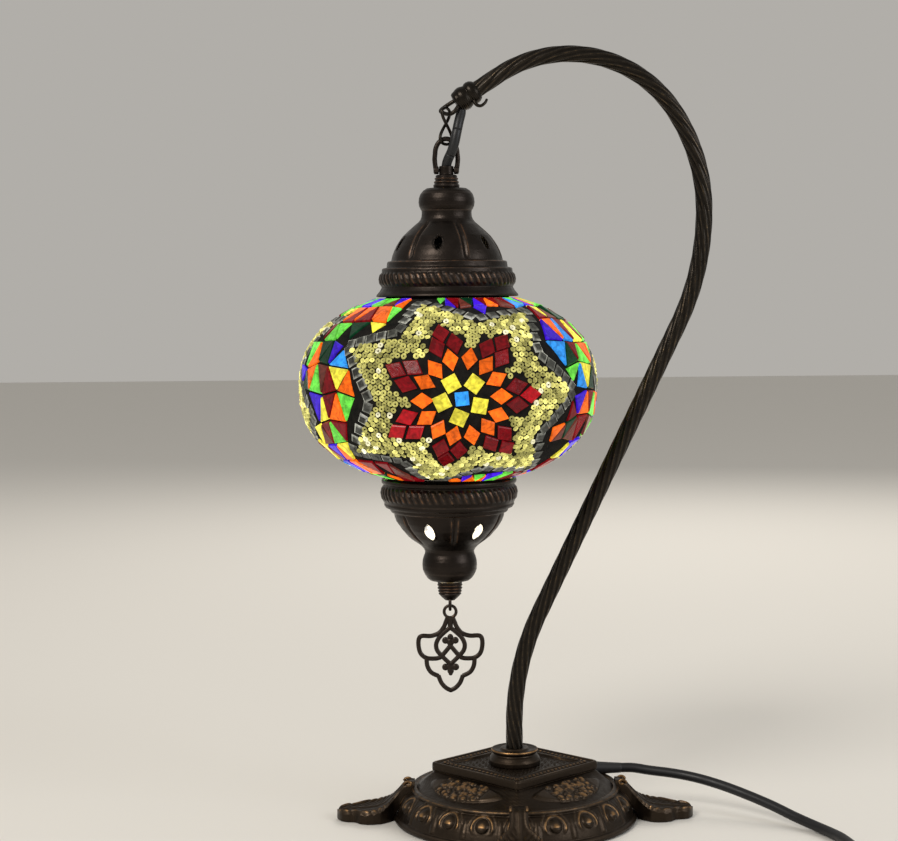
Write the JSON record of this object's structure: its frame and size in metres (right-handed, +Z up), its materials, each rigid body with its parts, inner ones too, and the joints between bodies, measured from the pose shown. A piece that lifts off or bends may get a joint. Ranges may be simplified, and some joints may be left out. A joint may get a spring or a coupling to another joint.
{
  "type": "mosaic glass table lamp",
  "caption": "Swan-neck table lamp: a mosaic glass globe between two turned caps hangs from an arched rope-fluted arm on a cast leaf-footed base, with a mains cord.",
  "frame": {"origin": "centre of the base's felt pad, on the surface that the lamp stands on", "axes": "+Z up, +X towards the side that the arm bows to, -Y towards the front medallion"},
  "size_m": [0.3101, 0.296, 0.4396],
  "materials": {
    "antique_bronze": "antiqued near-black bronze with copper rubbed on the high points",
    "cap_bronze": "dark antiqued pressed brass",
    "arm_bronze": "dark bronze lacquer over fluted steel tube",
    "bare_steel": "zinc-plated",
    "plain_brass": "machined",
    "felt": "green felt",
    "bulb_glass": "warm frosted",
    "shade_glass": "clear blown glass",
    "grout": "black grout",
    "tiles": "coloured cut glass",
    "cord": "black PVC cable",
    "black_plastic": "moulded black plastic",
    "holder_plastic": "black phenolic",
    "rocker_red": "red moulded plastic"
  },
  "bodies": {
    "stand": {"base_casting": "antique_bronze", "base_cover": "bare_steel", "felt_pad": "felt", "cover_screws": "bare_steel", "arm_collar": "antique_bronze", "arm_nipple": "plain_brass", "arm_washer": "bare_steel", "arm_nut": "plain_brass", "arm_tube": "arm_bronze", "arm_ferrule": "arm_bronze", "hook": "arm_bronze", "arm_cable": "cord", "cord_gland": "black_plastic", "mains_cord_lamp_end": "cord", "mains_cord_middle": "cord", "mains_cord_plug_end": "cord", "cord_coil": "cord", "switch_base": "black_plastic", "switch_cover": "black_plastic", "plug_body": "black_plastic", "plug_pins": "bare_steel"},
    "link": {"chain_link": "arm_bronze"},
    "bail": {"bail": "cap_bronze"},
    "shade": {"cap_stub": "cap_bronze", "upper_cap": "cap_bronze", "cap_nut": "plain_brass", "cap_nipple": "plain_brass", "lamp_holder": "holder_plastic", "holder_ring": "holder_plastic", "bulb_base": "bare_steel", "bulb_glass": "bulb_glass", "globe_carrier": "bare_steel", "spring_clips": "bare_steel", "glass_globe": "shade_glass", "mosaic_grout": "grout", "rosette_tiles": "tiles", "lower_cap": "cap_bronze", "lower_clip": "bare_steel", "lower_rod": "plain_brass", "bottom_finial": "cap_bronze", "drop_cable": "cord"},
    "pendant": {"pendant": "cap_bronze"},
    "rocker": {"switch_rocker": "rocker_red"}
  },
  "joints": [
    {"name": "link_swing", "type": "hinge", "parent": "stand", "child": "link", "pos_m": [-0.036, 0, 0.4012], "axis": [0, 1, 0], "range_deg": [-2, 25]},
    {"name": "bail_swing", "type": "hinge", "parent": "link", "child": "bail", "pos_m": [-0.036, 0, 0.387], "axis": [1, 0, 0], "range_deg": [-12, 12]},
    {"name": "shade_tilt", "type": "hinge", "parent": "bail", "child": "shade", "pos_m": [-0.036, 0, 0.369], "axis": [1, 0, 0], "range_deg": [-12, 12], "deforming": ["drop_cable"]},
    {"name": "pendant_swing", "type": "hinge", "parent": "shade", "child": "pendant", "pos_m": [-0.036, 0, 0.1187], "axis": [0, 1, 0], "range_deg": [-35, 35]},
    {"name": "switch_rocker_tilt", "type": "hinge", "parent": "stand", "child": "rocker", "pos_m": [0.178, -0.137, 0.01], "axis": [1, 0, 0], "range_deg": [-18, 0]}
  ]
}
